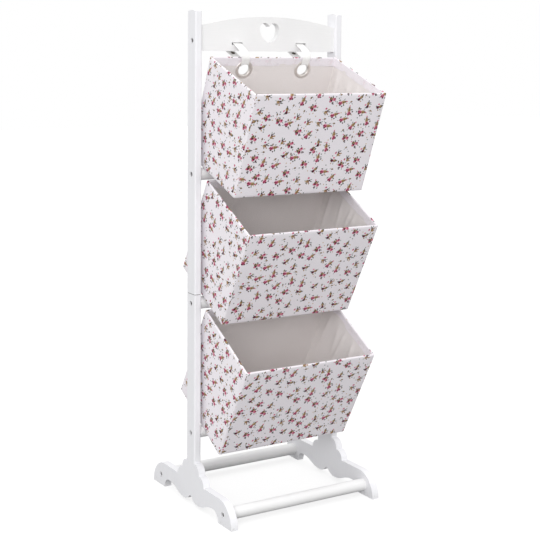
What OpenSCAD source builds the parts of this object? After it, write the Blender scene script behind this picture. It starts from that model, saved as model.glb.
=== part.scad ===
// Upright storage rack with three hanging fabric baskets.
// Millimetres, +Z up. Origin: on the floor, midway between the two legs and
// between their front and rear pads. The baskets lean out towards -Y.

/* [Frame] */
// Height from the floor to the tops of the side boards
rack_h = 1000; // [950:1:1150]
// Width over the outer faces of the side boards
rack_w = 350; // [320:1:420]
// Thickness of the side boards and feet
board_t = 15; // [12:0.5:20]
// Depth of the side boards, front to back
post_d = 34; // [28:0.5:45]
// Radius of the long edges of the side boards
post_edge_r = 3; // [1:0.5:6]
// Radius of the crowned board tops, seen from the side
post_crown_r = 60; // [30:1:120]
// Height of the joint between leg board and upper board, over the middle bar
seam_over_bar = 20; // [18:1:40]
// Depth of the fine groove at the joint
seam_groove = 0.6; // [0.2:0.1:1.5]
// Height of the fine groove at the joint
seam_groove_h = 1.2; // [0.4:0.1:3]

/* [Crossbars] */
// Diameter of the round bars
bar_d = 25; // [18:0.5:32]
// Drop from the rail's lower edge to the bar that carries the middle basket
bar_upper_drop = 246; // [236:1:270]
// Drop from that bar to the one that carries the bottom basket
bar_middle_drop = 261; // [254:1:285]
// Drop from that bar to the one that the bottom basket leans on
bar_lower_drop = 265; // [260:1:290]
// Distance of the two foot bars from the board centre line
foot_bar_y = 133.6; // [110:0.1:145]
// Height of the foot bars
foot_bar_z = 21.7; // [16:0.1:30]

/* [Foot outline] */
// Half length of a foot, centre to toe
foot_half = 168.5; // [140:0.5:200]
// Height of the foot arm and radius of the toe
foot_arm_h = 49.5; // [40:0.5:60]
// Radius of the two quarter-round steps up to the board
step_r = 19; // [12:0.5:24]
// Flat between one quarter-round step and the next
step_flat = 1; // [0.5:0.1:3]
// Inner end of the floor pad
pad_start = 116; // [100:0.5:130]
// Radius of the hollow beside the pad
hollow_r = 20.5; // [12:0.5:26]
// Lowest point of the belly between the pads
belly_z = 5.8; // [4:0.1:12]
// Distance of that lowest point from the centre
belly_y = 28; // [20:0.5:40]
// Radius of the belly towards the centre notch
belly_r = 31.7; // [28:0.1:40]
// Height of the centre notch
notch_z = 17.6; // [12:0.1:20]

/* [Top rail] */
// Thickness of the rail
rail_t = 15; // [12:0.5:20]
// Distance of the rail's mid plane behind the board centre line
rail_mid_y = -2.5; // [-6:0.1:6]
// Drop from the tops of the side boards to the rail's lower edge
rail_drop = 80; // [74:1:110]
// Depth of the rail at its ends
rail_end_h = 50; // [40:1:70]
// Rise of the arched upper edge at the centre
rail_rise = 20; // [5:1:40]
// Height of the heart's lobe centres over the rail's lower edge
heart_up = 45.5; // [38:0.1:50]
// Radius of the heart's lobes
heart_lobe_r = 11.9; // [9:0.1:14]
// Half width of the heart
heart_half_w = 22.8; // [18:0.1:26]
// Drop from lobe centres to the heart's tip
heart_drop = 28.7; // [20:0.1:34]
// Distance of a strap slot's middle outboard of the eyelet's
slot_out = 6; // [2:0.1:6.5]
// Length of a strap slot
slot_len = 25; // [25:0.5:34]
// Air over the strap in its slot
slot_air = 0.3; // [0.2:0.1:3]
// Radius of the slot's corners
slot_corner_r = 0.8; // [0.5:0.1:1.6]
// Wood left under a strap slot
slot_under = 12; // [10:0.5:13]

/* [Screws and pins] */
// Diameter of the screw shanks
screw_d = 7; // [5:0.5:8]
// Diameter of the screw heads
screw_head_d = 10; // [8:0.5:12]
// Height of the screw heads
screw_head_h = 3; // [2:0.5:4]
// Length of the shanks under the head
screw_len = 50; // [40:1:60]
// Depth of the hole that hides the head
counterbore = 6; // [4:0.5:8]
// Width of the hexagon socket across corners
socket_d = 4.6; // [3:0.1:6]
// Diameter of the wooden pins
pin_d = 8; // [6:0.5:10]
// Length of the wooden pins
pin_len = 30; // [20:1:36]
// Distance of the board pins from the board centre line
pin_y = 9; // [7:0.5:11]
// Height of the pins in the rail's ends over its lower edge
rail_pin_up = 37; // [34:0.5:40]
// Height of the screws in the rail's ends over its lower edge
rail_screw_up = 20; // [14:0.5:24]

/* [Baskets] */
// Space between a basket and the side board at each end
basket_side_gap = 8.5; // [5:0.5:20]
// Depth over the front and back panels
basket_d = 191; // [160:0.5:210]
// Height from the bottom to the rim
basket_h = 216; // [190:0.5:225]
// Radius of the upright corners
corner_r = 4; // [3:0.5:10]
// Thickness of the printed cover
cover_t = 1.2; // [0.8:0.1:2]
// Thickness of the stiffening boards
stiff_t = 2; // [1.5:0.1:3]
// Thickness of the lining
lining_t = 0.8; // [0.5:0.1:1.5]
// Thickness of the turned-in hem
hem_t = 0.6; // [0.4:0.1:1.2]
// Depth of the hem inside the basket
hem_depth = 20; // [12:0.5:30]
// Lean of the top basket
top_tilt = 21.7; // [18:0.1:26]
// Top basket: bar to back edge, along the bottom
top_slide = 57; // [50:0.5:70]
// Lean of the middle basket
middle_tilt = 28.6; // [24:0.1:31]
// Middle basket: bar to back edge, along the bottom
middle_slide = 101.5; // [90:0.5:110]
// Lean of the bottom basket
bottom_tilt = 29.6; // [24:0.1:32]
// Bottom basket: bar to back edge, along the bottom
bottom_slide = 111; // [96:0.5:118]

/* [Eyelets and straps] */
// Distance of the eyelets from the centre
eyelet_x = 70; // [60:0.5:90]
// Depth of the eyelet centres under the rim
eyelet_drop = 26; // [24:0.5:40]
// Clear diameter of an eyelet
eyelet_d = 25.5; // [25:0.5:30]
// Outer diameter of an eyelet flange
eyelet_flange_d = 38; // [32:0.5:44]
// Thickness of an eyelet flange
eyelet_flange_t = 1.2; // [0.8:0.1:2]
// Wall of the eyelet barrel
eyelet_wall = 0.8; // [0.5:0.1:1.2]
// Diameter of the washer on the outside of the panel
washer_d = 37; // [32:0.5:42]
// Thickness of that washer
washer_t = 0.8; // [0.5:0.1:1.5]
// Thickness of the barrel's rolled edge
roll_t = 1; // [0.6:0.1:1.6]
// Gap between a strap's inner edge and its slot's end
strap_inset = 1; // [1:0.1:2]
// Width of the webbing straps
strap_w = 17.5; // [14:0.5:18]
// Thickness of the webbing
strap_t = 1.3; // [1:0.1:2]
// Length of the doubled strap end under the stud
strap_lap = 20; // [16:0.5:26]
// Diameter of the press stud's cap
stud_d = 11; // [8:0.5:13]
// Thickness of the press stud's cap
stud_t = 1.8; // [1.2:0.1:2.5]
// Diameter of the press stud's post
stud_post_d = 3; // [2:0.1:4]

/* [Hidden] */
$fn = 96;
screw_play = 0.05;
pin_play = 0.05;
wrap_gap = 0.3;
skin_gap = 0.2;
crimp_gap = 0.05;
lap_bite = 0.05;
join_step = 0.05;
rest_gap = 0.3;
panel_t = cover_t + stiff_t + lining_t;
inner_w = rack_w - 2 * board_t;
basket_w = inner_w - 2 * basket_side_gap;
rail_low_z = rack_h - rail_drop;
bar_upper_z = rail_low_z - bar_upper_drop;
bar_middle_z = bar_upper_z - bar_middle_drop;
bar_lower_z = bar_middle_z - bar_lower_drop;
seam_z = bar_middle_z + seam_over_bar;
heart_z = rail_low_z + heart_up;
rail_pin_z = rail_low_z + rail_pin_up;
rail_screw_z = rail_low_z + rail_screw_up;
slot_x = eyelet_x + slot_out;
strap_x = slot_x - slot_len / 2 + strap_inset + strap_w / 2;
half_in = inner_w / 2;
half_out = rack_w / 2;
bar_r = bar_d / 2;
rail_front = rail_mid_y - rail_t / 2;
rail_arc_r = (half_in * half_in + rail_rise * rail_rise) / (2 * rail_rise);
rail_top_z = rail_low_z + rail_end_h + rail_rise;
strip_z = rail_low_z + slot_under / 2;
strip_r = norm([rail_t / 2, slot_under / 2]);
slot_h = round(10 * (strip_r + wrap_gap + strap_t + slot_air - slot_under / 2)) / 10;
slot_z = rail_low_z + slot_under + slot_h / 2;
toe_y = foot_half - foot_arm_h;
step1_y = post_d / 2 + step_r + step_flat;
step2_z = foot_arm_h + step_r + step_flat;
hollow_y = pad_start - hollow_r;
belly_run = hollow_y - belly_y;
belly_rise = hollow_r - belly_z;
belly_big_r = (belly_run * belly_run + belly_rise * belly_rise) / (4 * belly_rise);
heart_side_r = (heart_half_w * heart_half_w + heart_drop * heart_drop) / (2 * heart_half_w);
seat_strap = bar_r + wrap_gap + strap_t + rest_gap;
seat_bare = bar_r + rest_gap;
hem_in = panel_t + hem_t;
strap_front = hem_in + eyelet_flange_t + skin_gap;
strap_back = washer_t + roll_t + skin_gap;
strap_half = strap_w / 2 + abs(strap_x - eyelet_x);
lip_drop = eyelet_drop - sqrt(pow(eyelet_d / 2, 2) - pow(strap_half, 2)) + skin_gap;
lip_r = 0.5;
rim_r = 1.5;
loop_r = strip_r + wrap_gap;
slack_r = 3.6;
slack_y = 22.5;
slack_z = -2;

// Side view outlines: the first coordinate runs along +Y, the second along +Z,
// and the extrusion along +X from x0.
module side_plate(x0, t) {
    translate([x0, 0, 0])
        rotate([90, 0, 90])
            linear_extrude(height = t)
                children();
}

module x_rod(d, x0, len, y, z) {
    translate([x0, y, z])
        rotate([0, 90, 0])
            cylinder(d = d, h = len);
}

module rounded_rect(w, d, r) {
    square([w - 2 * r, d], center = true);
    square([w, d - 2 * r], center = true);
    for (sx = [-1, 1])
        for (sy = [-1, 1])
            translate([sx * (w / 2 - r), sy * (d / 2 - r)])
                circle(r = r);
}

module quarter_round(y, z, r) {
    translate([y, z])
        intersection() {
            circle(r = r);
            square([r + 1, r + 1]);
        }
}

// Half of the foot, from the centre line to the toe.
module half_foot_solid() {
    low = foot_arm_h / 2;
    square([toe_y, foot_arm_h]);
    quarter_round(toe_y, 0, foot_arm_h);
    translate([0, low])
        square([step1_y, low + step_r]);
    quarter_round(step1_y, foot_arm_h, step_r);
    translate([0, low])
        square([post_d / 2 + step_r, step2_z - low]);
    translate([0, low])
        square([post_d / 2, step2_z + step_r - low]);
    quarter_round(post_d / 2, step2_z, step_r);
}

// What is sawn out under the foot: the hollow beside the pad, the belly's
// S curve in two arcs, and the belly's rise to the centre notch. Where two
// arcs run into each other, a step of join_step keeps their ends apart.
module half_foot_hollows() {
    mid_y = belly_y + belly_run / 2;
    translate([hollow_y, -1])
        intersection() {
            translate([0, 1])
                circle(r = hollow_r);
            square([hollow_r + 1, hollow_r + 2]);
        }
    intersection() {
        translate([hollow_y, hollow_r - belly_big_r + join_step])
            circle(r = belly_big_r);
        translate([mid_y, -1])
            square([belly_run / 2, hollow_r + 2]);
    }
    difference() {
        translate([belly_y, -1])
            square([belly_run / 2, hollow_r + 1]);
        translate([belly_y, belly_z + belly_big_r])
            circle(r = belly_big_r);
    }
    difference() {
        translate([-1, -1])
            square([belly_y + 1, notch_z + 1]);
        translate([belly_y, belly_z + belly_r])
            circle(r = belly_r);
    }
}

module foot_outline() {
    for (s = [0, 1])
        mirror([s, 0])
            difference() {
                half_foot_solid();
                half_foot_hollows();
            }
}

// Rounded side board between two heights, centred on the left board.
module board_column(z0, z1, inset) {
    translate([0, 0, z0])
        linear_extrude(height = z1 - z0)
            rounded_rect(board_t - 2 * inset, post_d - 2 * inset, post_edge_r);
}

// Hole for a screw that enters the left board from outside.
module screw_hole(y, z) {
    x_rod(screw_head_d + 0.5, -half_out - 1, 1 + counterbore, y, z);
    x_rod(screw_d + 2 * screw_play, -half_out, board_t + 1, y, z);
}

module pin_holes_in_board() {
    for (sy = [-1, 1])
        translate([-half_out + board_t / 2, sy * pin_y, seam_z - pin_len / 2 - 0.3])
            cylinder(d = pin_d + 2 * pin_play, h = pin_len + 0.6);
}

module leg_shape() {
    difference() {
        union() {
            side_plate(-half_out, board_t)
                foot_outline();
            translate([-half_out + board_t / 2, 0, 0]) {
                board_column(step2_z, seam_z - seam_groove_h / 2, 0);
                board_column(step2_z, seam_z, seam_groove);
            }
        }
        screw_hole(0, bar_middle_z);
        screw_hole(0, bar_lower_z);
        screw_hole(-foot_bar_y, foot_bar_z);
        screw_hole(foot_bar_y, foot_bar_z);
        pin_holes_in_board();
    }
}

module post_shape() {
    difference() {
        intersection() {
            translate([-half_out + board_t / 2, 0, 0]) {
                board_column(seam_z + seam_groove_h / 2, rack_h + 1, 0);
                board_column(seam_z, rack_h - post_crown_r, seam_groove);
            }
            union() {
                x_rod(2 * post_crown_r, -half_out - 1, board_t + 2, 0, rack_h - post_crown_r);
                translate([-half_out - 1, -post_crown_r, seam_z - 1])
                    cube([board_t + 2, 2 * post_crown_r, rack_h - post_crown_r - seam_z + 1]);
            }
        }
        screw_hole(0, bar_upper_z);
        screw_hole(rail_mid_y, rail_screw_z);
        x_rod(pin_d + 2 * pin_play, -half_in - rail_pin_in_board - 0.3, pin_len, rail_mid_y, rail_pin_z);
        pin_holes_in_board();
    }
}

module heart_outline() {
    side_c = heart_side_r - heart_half_w + join_step;
    for (s = [-1, 1])
        translate([s * (heart_half_w - heart_lobe_r), heart_z])
            intersection() {
                circle(r = heart_lobe_r);
                translate([-heart_lobe_r - 1, 0])
                    square([2 * heart_lobe_r + 2, heart_lobe_r + 1]);
            }
    intersection() {
        translate([-side_c, heart_z])
            circle(r = heart_side_r);
        translate([side_c, heart_z])
            circle(r = heart_side_r);
        translate([-heart_half_w - 1, heart_z - heart_drop - 1])
            square([2 * heart_half_w + 2, heart_drop + 1]);
    }
}

module rail_outline() {
    difference() {
        intersection() {
            translate([-half_in, rail_low_z])
                square([inner_w, rail_end_h + rail_rise + 1]);
            translate([0, rail_top_z - rail_arc_r])
                circle(r = rail_arc_r, $fn = 360);
        }
        heart_outline();
        for (s = [-1, 1])
            translate([s * slot_x, slot_z])
                rounded_rect(slot_len, slot_h, slot_corner_r);
    }
}

module left_leg() {
    color("white")
        leg_shape();
}

module right_leg() {
    color("white")
        mirror([1, 0, 0])
            leg_shape();
}

module left_post() {
    color("white")
        post_shape();
}

module right_post() {
    color("white")
        mirror([1, 0, 0])
            post_shape();
}

module top_rail() {
    color("whitesmoke")
        difference() {
            translate([0, rail_front + rail_t, 0])
                rotate([90, 0, 0])
                    linear_extrude(height = rail_t)
                        rail_outline();
            for (s = [0, 1])
                mirror([s, 0, 0]) {
                    x_rod(screw_d + 2 * screw_play, -half_in - 1,
                        1 + screw_reach() + 1, rail_mid_y, rail_screw_z);
                    x_rod(pin_d + 2 * pin_play, -half_in - 1,
                        1 + rail_pin_reach() + 0.5, rail_mid_y, rail_pin_z);
                }
        }
}

// How far a screw reaches past the inner face of a side board.
function screw_reach() = screw_len + counterbore - board_t;
// How far a rail pin reaches into the rail.
function rail_pin_reach() = pin_len - rail_pin_in_board;
rail_pin_in_board = 12;

module crossbar(y, z) {
    color("white")
        difference() {
            x_rod(bar_d, -half_in, inner_w, y, z);
            for (s = [0, 1])
                mirror([s, 0, 0])
                    x_rod(screw_d + 2 * screw_play, -half_in - 1, 2 + screw_reach(), y, z);
        }
}

module crossbar_upper() {
    crossbar(0, bar_upper_z);
}

module crossbar_middle() {
    crossbar(0, bar_middle_z);
}

module crossbar_lower() {
    crossbar(0, bar_lower_z);
}

module front_foot_bar() {
    crossbar(-foot_bar_y, foot_bar_z);
}

module rear_foot_bar() {
    crossbar(foot_bar_y, foot_bar_z);
}

module wood_pins() {
    color("burlywood")
        for (s = [0, 1])
            mirror([s, 0, 0]) {
                for (sy = [-1, 1])
                    translate([-half_out + board_t / 2, sy * pin_y, seam_z - pin_len / 2])
                        cylinder(d = pin_d, h = pin_len);
                x_rod(pin_d, -half_in - rail_pin_in_board, pin_len, rail_mid_y, rail_pin_z);
            }
}

// One screw in the left board, head under the outer face.
module frame_screw(y, z) {
    difference() {
        union() {
            x_rod(screw_head_d, -half_out + counterbore - screw_head_h, screw_head_h, y, z);
            x_rod(screw_d, -half_out + counterbore - screw_head_h, screw_head_h + screw_len, y, z);
        }
        translate([-half_out + counterbore - screw_head_h - 1, y, z])
            rotate([0, 90, 0])
                cylinder(d = socket_d, h = 1 + screw_head_h - 0.8, $fn = 6);
    }
}

module frame_screws() {
    color("silver")
        for (s = [0, 1])
            mirror([s, 0, 0]) {
                frame_screw(rail_mid_y, rail_screw_z);
                for (z = [bar_upper_z, bar_middle_z, bar_lower_z])
                    frame_screw(0, z);
                for (y = [-foot_bar_y, foot_bar_y])
                    frame_screw(y, foot_bar_z);
            }
}

// Baskets. The local frame has its origin at the outer top edge of the back
// panel, +Y towards the rear and +Z up the panel, and is tilted about X so
// that the bottom panel lies on the bar below.
function rim_y(seat, tilt, slide) = slide * cos(tilt) - (seat + basket_h) * sin(tilt);
function rim_z(bar_z, seat, tilt, slide) =
    bar_z + slide * sin(tilt) + (seat + basket_h) * cos(tilt);
function place(rim, tilt, u, v) =
    [rim[0] + u * cos(tilt) - v * sin(tilt), rim[1] + u * sin(tilt) + v * cos(tilt)];

top_rim = [rim_y(seat_strap, top_tilt, top_slide),
    rim_z(bar_upper_z, seat_strap, top_tilt, top_slide)];
middle_rim = [rim_y(seat_strap, middle_tilt, middle_slide),
    rim_z(bar_middle_z, seat_strap, middle_tilt, middle_slide)];
bottom_rim = [rim_y(seat_bare, bottom_tilt, bottom_slide),
    rim_z(bar_lower_z, seat_bare, bottom_tilt, bottom_slide)];

module hang(rim, tilt) {
    translate([0, rim[0], rim[1]])
        rotate([tilt, 0, 0])
            children();
}

// A box of the basket's outline, drawn in by "inset", between two heights.
module basket_block(inset, r, v0, v1) {
    translate([0, -basket_d / 2, v0])
        linear_extrude(height = v1 - v0)
            rounded_rect(basket_w - 2 * inset, basket_d - 2 * inset, r);
}

module eyelet_holes() {
    for (s = [-1, 1])
        translate([s * eyelet_x, washer_t + roll_t, -eyelet_drop])
            rotate([90, 0, 0])
                cylinder(d = eyelet_d + 2 * eyelet_wall + 0.2, h = 20);
}

module cover_shape() {
    difference() {
        basket_block(0, corner_r, -basket_h, -hem_t);
        basket_block(cover_t, corner_r - cover_t, -basket_h + cover_t, 1);
        eyelet_holes();
    }
}

module boards_shape() {
    floor_v = -basket_h + cover_t;
    wall_v = floor_v + stiff_t;
    wall_h = -hem_t - wall_v;
    shy = cover_t + corner_r;
    translate([-basket_w / 2 + shy, -basket_d + shy, floor_v])
        cube([basket_w - 2 * shy, basket_d - 2 * shy, stiff_t]);
    translate([-basket_w / 2 + shy, -basket_d + cover_t, wall_v])
        cube([basket_w - 2 * shy, stiff_t, wall_h]);
    difference() {
        translate([-basket_w / 2 + shy, -cover_t - stiff_t, wall_v])
            cube([basket_w - 2 * shy, stiff_t, wall_h]);
        eyelet_holes();
    }
    for (s = [0, 1])
        mirror([s, 0, 0])
            translate([-basket_w / 2 + cover_t, -basket_d + shy, wall_v])
                cube([stiff_t, basket_d - 2 * shy, wall_h]);
}

module lining_shape() {
    inset = cover_t + stiff_t;
    difference() {
        basket_block(inset, corner_r - inset + 1, -basket_h + inset, -hem_t);
        basket_block(panel_t, corner_r - inset + 1 - lining_t, -basket_h + panel_t, 1);
        eyelet_holes();
    }
}

module hem_shape() {
    difference() {
        union() {
            basket_block(0, corner_r, -hem_t, 0);
            basket_block(panel_t, corner_r - cover_t - stiff_t + 1 - lining_t, -hem_depth, -hem_t);
        }
        basket_block(hem_in, 0.2, -hem_depth - 1, 1);
        eyelet_holes();
    }
}

// Metal eyelets: flange inside, barrel through the panel, rolled edge outside,
// and a washer between that edge and the cover.
module eyelets_shape() {
    in_face = hem_in + eyelet_flange_t;
    bore_r = eyelet_d / 2;
    edge_r = eyelet_flange_t / 2;
    for (s = [-1, 1])
        translate([s * eyelet_x, -in_face, -eyelet_drop])
            rotate([-90, 0, 0])
                rotate_extrude() {
                    translate([bore_r, 0])
                        square([eyelet_flange_d / 2 - edge_r - bore_r, eyelet_flange_t]);
                    translate([eyelet_flange_d / 2 - edge_r, edge_r])
                        circle(r = edge_r);
                    translate([bore_r, 0])
                        square([eyelet_wall, in_face + washer_t + roll_t]);
                    translate([bore_r, in_face + washer_t + crimp_gap])
                        square([2.5 * eyelet_wall, roll_t - crimp_gap]);
                }
    for (s = [-1, 1])
        translate([s * eyelet_x, 0, -eyelet_drop])
            rotate([-90, 0, 0])
                difference() {
                    cylinder(d = washer_d, h = washer_t);
                    translate([0, 0, -1])
                        cylinder(d = eyelet_d + 2 * eyelet_wall + 0.2, h = washer_t + 2);
                }
}

// Outward direction of the line that touches two circles from outside, for a
// loop that runs counter-clockwise.
function touch_dir(a, b) =
    let (d = [b[0] - a[0], b[1] - a[1]],
        len = norm(d),
        k = (a[2] - b[2]) / len,
        e = d / len)
    e * k + [e[1], -e[0]] * sqrt(1 - k * k);
function touch_line(a, b) =
    let (n = touch_dir(a, b))
    [[a[0], a[1]] + a[2] * n, [b[0], b[1]] + b[2] * n];
function grow(c, t) = [c[0], c[1], c[2] + t];

// Area enclosed by a belt around circles given as [y, z, radius].
module belt_area(cs, t) {
    n = len(cs);
    polygon([for (i = [0 : n - 1])
        for (p = touch_line(grow(cs[i], t), grow(cs[(i + 1) % n], t))) p]);
    for (c = cs)
        translate([c[0], c[1]])
            circle(r = c[2] + t);
}

// Loop of a basket that hangs on a bar, and of the top basket, whose loop
// goes through the rail's slot and sags behind the rail.
function grip_circles(rim, tilt) =
    let (a = place(rim, tilt, -strap_front + rim_r, -0.5),
        b = place(rim, tilt, -strap_front + lip_r, -lip_drop + lip_r),
        c = place(rim, tilt, strap_back - lip_r, -lip_drop + lip_r))
    [[a[0], a[1], rim_r], [b[0], b[1], lip_r], [c[0], c[1], lip_r]];
function bar_loop(z, rim, tilt) = concat([[0, z, bar_r + wrap_gap]], grip_circles(rim, tilt));
function rail_loop(rim, tilt) = concat([[rail_mid_y, strip_z, loop_r]],
    grip_circles(rim, tilt),
    [[rail_mid_y + slack_y, strip_z + slack_z, slack_r]]);

// The free run behind the panel, from the eyelet up: its line, its middle and
// its direction carry the doubled end and the stud.
function back_run(cs) = touch_line(grow(cs[3], strap_t), grow(cs[4 % len(cs)], strap_t));

module on_back_run(cs, share) {
    r = back_run(cs);
    m = r[0] + (r[1] - r[0]) * share;
    turn = atan2(r[1][1] - r[0][1], r[1][0] - r[0][0]);
    translate([0, m[0], m[1]])
        rotate([turn, 0, 0])
            children();
}

module strap_pair(cs, share) {
    for (s = [-1, 1])
        difference() {
            union() {
                side_plate(s * strap_x - strap_w / 2, strap_w)
                    difference() {
                        belt_area(cs, strap_t);
                        belt_area(cs, 0);
                    }
                on_back_run(cs, share)
                    translate([s * strap_x - strap_w / 2, -strap_lap / 2, -strap_t])
                        cube([strap_w, strap_lap, strap_t + lap_bite]);
            }
            on_back_run(cs, share)
                translate([s * strap_x, 0, -2 * strap_t])
                    cylinder(d = stud_post_d + 0.1, h = 4 * strap_t);
        }
}

module stud_pair(cs, share) {
    for (s = [-1, 1])
        on_back_run(cs, share)
            translate([s * strap_x, 0, 0]) {
                translate([0, 0, -strap_t - stud_t])
                    cylinder(d = stud_d, h = stud_t);
                translate([0, 0, -strap_t - stud_t])
                    cylinder(d = stud_post_d, h = stud_t + 2 * strap_t);
                translate([0, 0, strap_t])
                    cylinder(d = stud_d - 2, h = stud_t / 2);
            }
}

top_loop = rail_loop(top_rim, top_tilt);
middle_loop = bar_loop(bar_upper_z, middle_rim, middle_tilt);
bottom_loop = bar_loop(bar_middle_z, bottom_rim, bottom_tilt);
top_stud_at = 0.8;
bar_stud_at = 0.5;

module top_basket_cover() {
    color("mistyrose")
        hang(top_rim, top_tilt)
            cover_shape();
}

module top_basket_boards() {
    color("tan")
        hang(top_rim, top_tilt)
            boards_shape();
}

module top_basket_lining() {
    color("linen")
        hang(top_rim, top_tilt)
            lining_shape();
}

module top_basket_hem() {
    color("lavenderblush")
        hang(top_rim, top_tilt)
            hem_shape();
}

module top_basket_eyelets() {
    color("silver")
        hang(top_rim, top_tilt)
            eyelets_shape();
}

module top_basket_straps() {
    color("ivory")
        strap_pair(top_loop, top_stud_at);
}

module top_basket_studs() {
    color("dimgray")
        stud_pair(top_loop, top_stud_at);
}

module middle_basket_cover() {
    color("mistyrose")
        hang(middle_rim, middle_tilt)
            cover_shape();
}

module middle_basket_boards() {
    color("tan")
        hang(middle_rim, middle_tilt)
            boards_shape();
}

module middle_basket_lining() {
    color("linen")
        hang(middle_rim, middle_tilt)
            lining_shape();
}

module middle_basket_hem() {
    color("lavenderblush")
        hang(middle_rim, middle_tilt)
            hem_shape();
}

module middle_basket_eyelets() {
    color("silver")
        hang(middle_rim, middle_tilt)
            eyelets_shape();
}

module middle_basket_straps() {
    color("ivory")
        strap_pair(middle_loop, bar_stud_at);
}

module middle_basket_studs() {
    color("dimgray")
        stud_pair(middle_loop, bar_stud_at);
}

module bottom_basket_cover() {
    color("mistyrose")
        hang(bottom_rim, bottom_tilt)
            cover_shape();
}

module bottom_basket_boards() {
    color("tan")
        hang(bottom_rim, bottom_tilt)
            boards_shape();
}

module bottom_basket_lining() {
    color("linen")
        hang(bottom_rim, bottom_tilt)
            lining_shape();
}

module bottom_basket_hem() {
    color("lavenderblush")
        hang(bottom_rim, bottom_tilt)
            hem_shape();
}

module bottom_basket_eyelets() {
    color("silver")
        hang(bottom_rim, bottom_tilt)
            eyelets_shape();
}

module bottom_basket_straps() {
    color("ivory")
        strap_pair(bottom_loop, bar_stud_at);
}

module bottom_basket_studs() {
    color("dimgray")
        stud_pair(bottom_loop, bar_stud_at);
}

left_leg();
right_leg();
left_post();
right_post();
top_rail();
crossbar_upper();
crossbar_middle();
crossbar_lower();
front_foot_bar();
rear_foot_bar();
wood_pins();
frame_screws();
top_basket_cover();
top_basket_boards();
top_basket_lining();
top_basket_hem();
top_basket_eyelets();
top_basket_straps();
top_basket_studs();
middle_basket_cover();
middle_basket_boards();
middle_basket_lining();
middle_basket_hem();
middle_basket_eyelets();
middle_basket_straps();
middle_basket_studs();
bottom_basket_cover();
bottom_basket_boards();
bottom_basket_lining();
bottom_basket_hem();
bottom_basket_eyelets();
bottom_basket_straps();
bottom_basket_studs();
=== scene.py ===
import math
import random
from contextlib import contextmanager

import bmesh
import bpy
import numpy as np
from mathutils import Matrix, Vector, noise


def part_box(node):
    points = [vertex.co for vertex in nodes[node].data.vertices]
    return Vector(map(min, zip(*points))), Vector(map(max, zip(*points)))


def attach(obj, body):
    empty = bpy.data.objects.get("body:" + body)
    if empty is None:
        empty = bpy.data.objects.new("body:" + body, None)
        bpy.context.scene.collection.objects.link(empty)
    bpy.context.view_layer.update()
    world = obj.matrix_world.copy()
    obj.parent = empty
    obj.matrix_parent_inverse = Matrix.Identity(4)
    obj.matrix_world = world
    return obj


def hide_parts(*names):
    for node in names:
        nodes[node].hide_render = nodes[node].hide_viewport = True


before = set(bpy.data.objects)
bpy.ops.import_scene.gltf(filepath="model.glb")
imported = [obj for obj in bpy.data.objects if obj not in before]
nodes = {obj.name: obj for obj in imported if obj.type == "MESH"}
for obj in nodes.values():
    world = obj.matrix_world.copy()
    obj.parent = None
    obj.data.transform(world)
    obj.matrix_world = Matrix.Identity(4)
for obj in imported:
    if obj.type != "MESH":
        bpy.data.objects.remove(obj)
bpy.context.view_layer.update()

# What the finishes of all the pieces are built from.
VECTOR, FLOAT, COLOUR = "NodeSocketVector", "NodeSocketFloat", "NodeSocketColor"
POSITION = ("Position", VECTOR, (0, 0, 0))
GROUND = ("Ground", COLOUR, (1, 1, 1, 1))
# Weave groups give a height and a mask for where shade is painted into the valleys.
WOVEN = [("Height", FLOAT), ("Valley", FLOAT)]


def add(tree, kind, values=None, **settings):
    """The outputs of a new node, its kind named without the ShaderNode at the start. values
    are its inputs, each a constant or another node's output."""
    node = tree.nodes.new("ShaderNode" + kind)
    for key, value in settings.items():
        setattr(node, key, value)
    for key, value in (values or {}).items():
        if isinstance(value, bpy.types.NodeSocket):
            tree.links.new(value, node.inputs[key])
        else:
            node.inputs[key].default_value = value
    return node.outputs


def compute(tree, operation, *values):
    """What a Math node gives."""
    return add(tree, "Math", dict(enumerate(values)), operation=operation)[0]


def compute_vector(tree, operation, *values, **named):
    """The vector that a Vector Math node gives."""
    values = {**dict(enumerate(values)), **named}
    return add(tree, "VectorMath", values, operation=operation)[0]


def length_of(tree, vector):
    return add(tree, "VectorMath", {0: vector}, operation="LENGTH")["Value"]


def split(tree, vector):
    return add(tree, "SeparateXYZ", {0: vector})


def map_range(tree, value, start=0.0, end=1.0, low=0.0, high=1.0):
    """Takes start..end to low..high, and holds the value there beyond them."""
    values = {"Value": value, "From Min": start, "From Max": end, "To Min": low, "To Max": high}
    return add(tree, "MapRange", values)[0]


def noise_outputs(tree, vector, scale, detail, **more):
    values = {"Vector": vector, "Scale": scale, "Detail": detail, **more}
    return add(tree, "TexNoise", values)


def clouds(tree, vector, scale, detail, **more):
    """A noise texture's grey value."""
    return noise_outputs(tree, vector, scale, detail, **more)[0]


def use_group(tree, group, **inputs):
    """The outputs of a shader group."""
    return add(tree, "Group", inputs, node_tree=group)


def object_place(tree):
    return add(tree, "TexCoord")["Object"]


def cloth_place(tree):
    """Where a point lies on its flat cloth."""
    return add(tree, "UVMap", uv_map="cloth")[0]


def blend_colours(tree, mask, first, second):
    return add(tree, "Mix", {0: mask, 6: first, 7: second}, data_type="RGBA")[2]


def srgb(red, green, blue):
    """A colour as the eye reads it off a screen, 0 to 255, as the shader needs it."""
    return tuple((c / 255) ** 2.2 for c in (red, green, blue)) + (1.0,)


def new_group(name, inputs, outputs):
    """An empty shader group: inputs are (name, kind, default), outputs (name, kind)."""
    tree = bpy.data.node_groups.new(name, "ShaderNodeTree")
    for label, kind, default in inputs:
        socket = tree.interface.new_socket(label, in_out="INPUT", socket_type=kind)
        socket.default_value = default
    for label, kind in outputs:
        tree.interface.new_socket(label, in_out="OUTPUT", socket_type=kind)
    return tree, tree.nodes.new("NodeGroupInput").outputs, tree.nodes.new("NodeGroupOutput").inputs


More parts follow.
